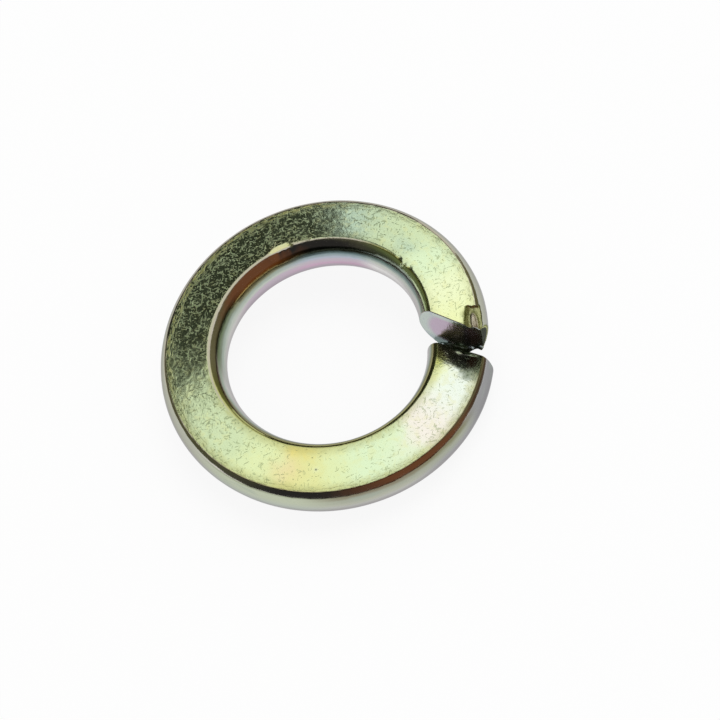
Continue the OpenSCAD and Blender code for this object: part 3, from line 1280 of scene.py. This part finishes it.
@dataclass(frozen=True)
class Studio:
    """The plain table, the dark boards, the soft light and the camera."""

    aim_angle: float = math.radians(178.43)
    view_azimuth: float = math.radians(-71.336)
    view_elevation: float = 1.02944
    view_roll: float = -0.35154
    view_distance: float = 174.0 * MM
    focal_pixels: float = 3354.0
    frame_pixels: float = 720.0
    sensor_width: float = 36.0
    table_half: float = 0.6
    paper_grey: float = 0.86
    paper_glow: float = 1.018
    glow_share: float = 0.86
    fill_light: float = 0.7
    lamp_size: float = 0.5
    lamp_watts: float = 1.2
    lamp_place: Colour = (0.12, 0.2, 0.6)
    axis_pixel: tuple[float, float] = (325.05, 353.51)
    flags: tuple[Flag, ...] = (
        Flag("back flag", (104.5, 148.0), (0.0, 58.0), (DIM, DIM)),
        Flag("left flag", (148.0, 186.0), (8.0, 62.0), (MOSSY, MOSSY)),
        Flag("near left flag", (186.0, 210.0), (5.0, 78.0), (MOSSY, DULL)),
        Flag("nearest left flag", (210.0, 236.0), (0.0, 78.0), (DULL, BLACK)),
        Flag("front flag", (-124.0, -96.0), (0.0, 85.0), (BLACK, BLACK)),
        Flag("front warm flag", (-96.0, -56.0), (0.0, 85.0), (BLACK, COPPER)),
        Flag("warm flag", (-56.0, -16.0), (0.0, 85.0), (COPPER, COPPER)),
        Flag("olive flag", (-16.0, 10.0), (0.0, 85.0), (COPPER, TAWNY)),
        Flag("right flag", (10.0, 18.0), (0.0, 85.0), (TAWNY, TAWNY)),
        Flag("corner flag", (18.0, 64.0), (0.0, 57.0), (TAWNY, HAY)),
        Flag("side flag", (64.0, 80.0), (22.0, 36.0), (HAY, HAY)),
        Flag("far right flag", (80.0, 104.5), (0.0, 36.0), (DIM, DIM)),
    )

    def build(self, sizes: WasherSizes) -> None:
        """Builds the set round the washer.

        Args:
            sizes: The washer's sizes, from which the camera's aim follows.
        """
        self.camera(Vector((0, 0, sizes.height(self.aim_angle))))
        self.table()
        for flag in self.flags:
            flag.build()
        self.world()
        self.lamps()

    def camera(self, aim: Vector) -> bpy.types.Object:
        """Builds the camera at the photograph's viewing angle, aimed at a point on the washer's axis."""
        back = Vector((math.cos(self.view_azimuth) * math.cos(self.view_elevation),
                       math.sin(self.view_azimuth) * math.cos(self.view_elevation),
                       math.sin(self.view_elevation)))
        right = Vector((0, 0, 1)).cross(back).normalized()
        up = back.cross(right)
        cosine, sine = math.cos(self.view_roll), math.sin(self.view_roll)
        turn = Matrix((cosine * right + sine * up, cosine * up - sine * right, back))
        middle = self.frame_pixels / 2
        to_aim = Vector(((self.axis_pixel[0] - middle) / self.focal_pixels,
                         (middle - self.axis_pixel[1]) / self.focal_pixels, -1.0)) * self.view_distance
        turn = Vector((0, 0, -1)).rotation_difference(to_aim).to_matrix() @ turn
        data = bpy.data.cameras.new("camera")
        data.sensor_width = self.sensor_width
        data.lens = self.focal_pixels / self.frame_pixels * data.sensor_width
        data.clip_start = 0.005
        camera = bpy.data.objects.new("camera", data)
        place = Matrix.Translation(aim - turn.transposed() @ to_aim)
        camera.matrix_world = place @ turn.transposed().to_4x4()
        bpy.context.scene.collection.objects.link(camera)
        bpy.context.scene.camera = camera
        return camera

    def table(self) -> bpy.types.Object:
        """Builds the white table, whose soft shadow is lightened as white paper's is."""
        mesh = bpy.data.meshes.new("table")
        half = self.table_half
        mesh.from_pydata([(-half, -half, 0), (half, -half, 0), (half, half, 0), (-half, half, 0)], [],
                         [(0, 1, 2, 3)])
        table = bpy.data.objects.new("table", mesh)
        bpy.context.scene.collection.objects.link(table)
        material = bpy.data.materials.new("white table")
        material.use_nodes = True
        tree = material.node_tree
        paper = tree.nodes["Principled BSDF"]
        paper.inputs["Base Color"].default_value = (self.paper_grey, self.paper_grey, self.paper_grey, 1)
        paper.inputs["Roughness"].default_value = 0.9
        glow = tree.nodes.new("ShaderNodeEmission")
        glow.inputs["Color"].default_value = (1.0, 1.0, 1.0, 1)
        glow.inputs["Strength"].default_value = self.paper_glow
        mix = tree.nodes.new("ShaderNodeMixShader")
        mix.inputs[0].default_value = self.glow_share
        tree.links.new(paper.outputs[0], mix.inputs[1])
        tree.links.new(glow.outputs[0], mix.inputs[2])
        tree.links.new(mix.outputs[0], tree.nodes["Material Output"].inputs["Surface"])
        mesh.materials.append(material)
        return table

    def world(self) -> None:
        """Surrounds the set with even white, which the camera and the mirroring metal both see."""
        world = bpy.data.worlds.new("white surround")
        world.use_nodes = True
        bpy.context.scene.world = world
        tree = world.node_tree
        path = tree.nodes.new("ShaderNodeLightPath")
        seen = Formula(tree, path.outputs["Is Camera Ray"])
        for kind in ("Is Glossy Ray", "Is Transmission Ray"):
            seen = seen.math("MAXIMUM", Formula(tree, path.outputs[kind]))
        ground = tree.nodes["Background"]
        ground.inputs["Color"].default_value = (1, 1, 1, 1)
        feed(tree, ground.inputs["Strength"], self.fill_light + seen * (1.0 - self.fill_light))

    def lamps(self) -> None:
        """Adds one broad soft lamp overhead."""
        data = bpy.data.lights.new("soft lamp", "AREA")
        data.shape = "DISK"
        data.size = self.lamp_size
        data.energy = self.lamp_watts
        lamp = bpy.data.objects.new("soft lamp", data)
        lamp.location = self.lamp_place
        lamp.rotation_euler = (-lamp.location).to_track_quat("-Z", "Y").to_euler()
        lamp.visible_glossy = False
        bpy.context.scene.collection.objects.link(lamp)


def main() -> None:
    """Builds the washer and its set."""
    logging.basicConfig(level=logging.INFO)
    bpy.context.scene.view_settings.view_transform = "Standard"
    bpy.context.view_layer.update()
    sizes = WasherSizes()
    finish = ZincFinish().build()
    washer = Washer(sizes, finish).build()
    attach(washer, "root")
    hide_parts("lock_washer")
    LOG.info("%s: %d points, %d faces", washer.name, len(washer.data.vertices), len(washer.data.polygons))
    Studio().build(sizes)
    LOG.info("set built")


if __name__ == "__main__":
    main()
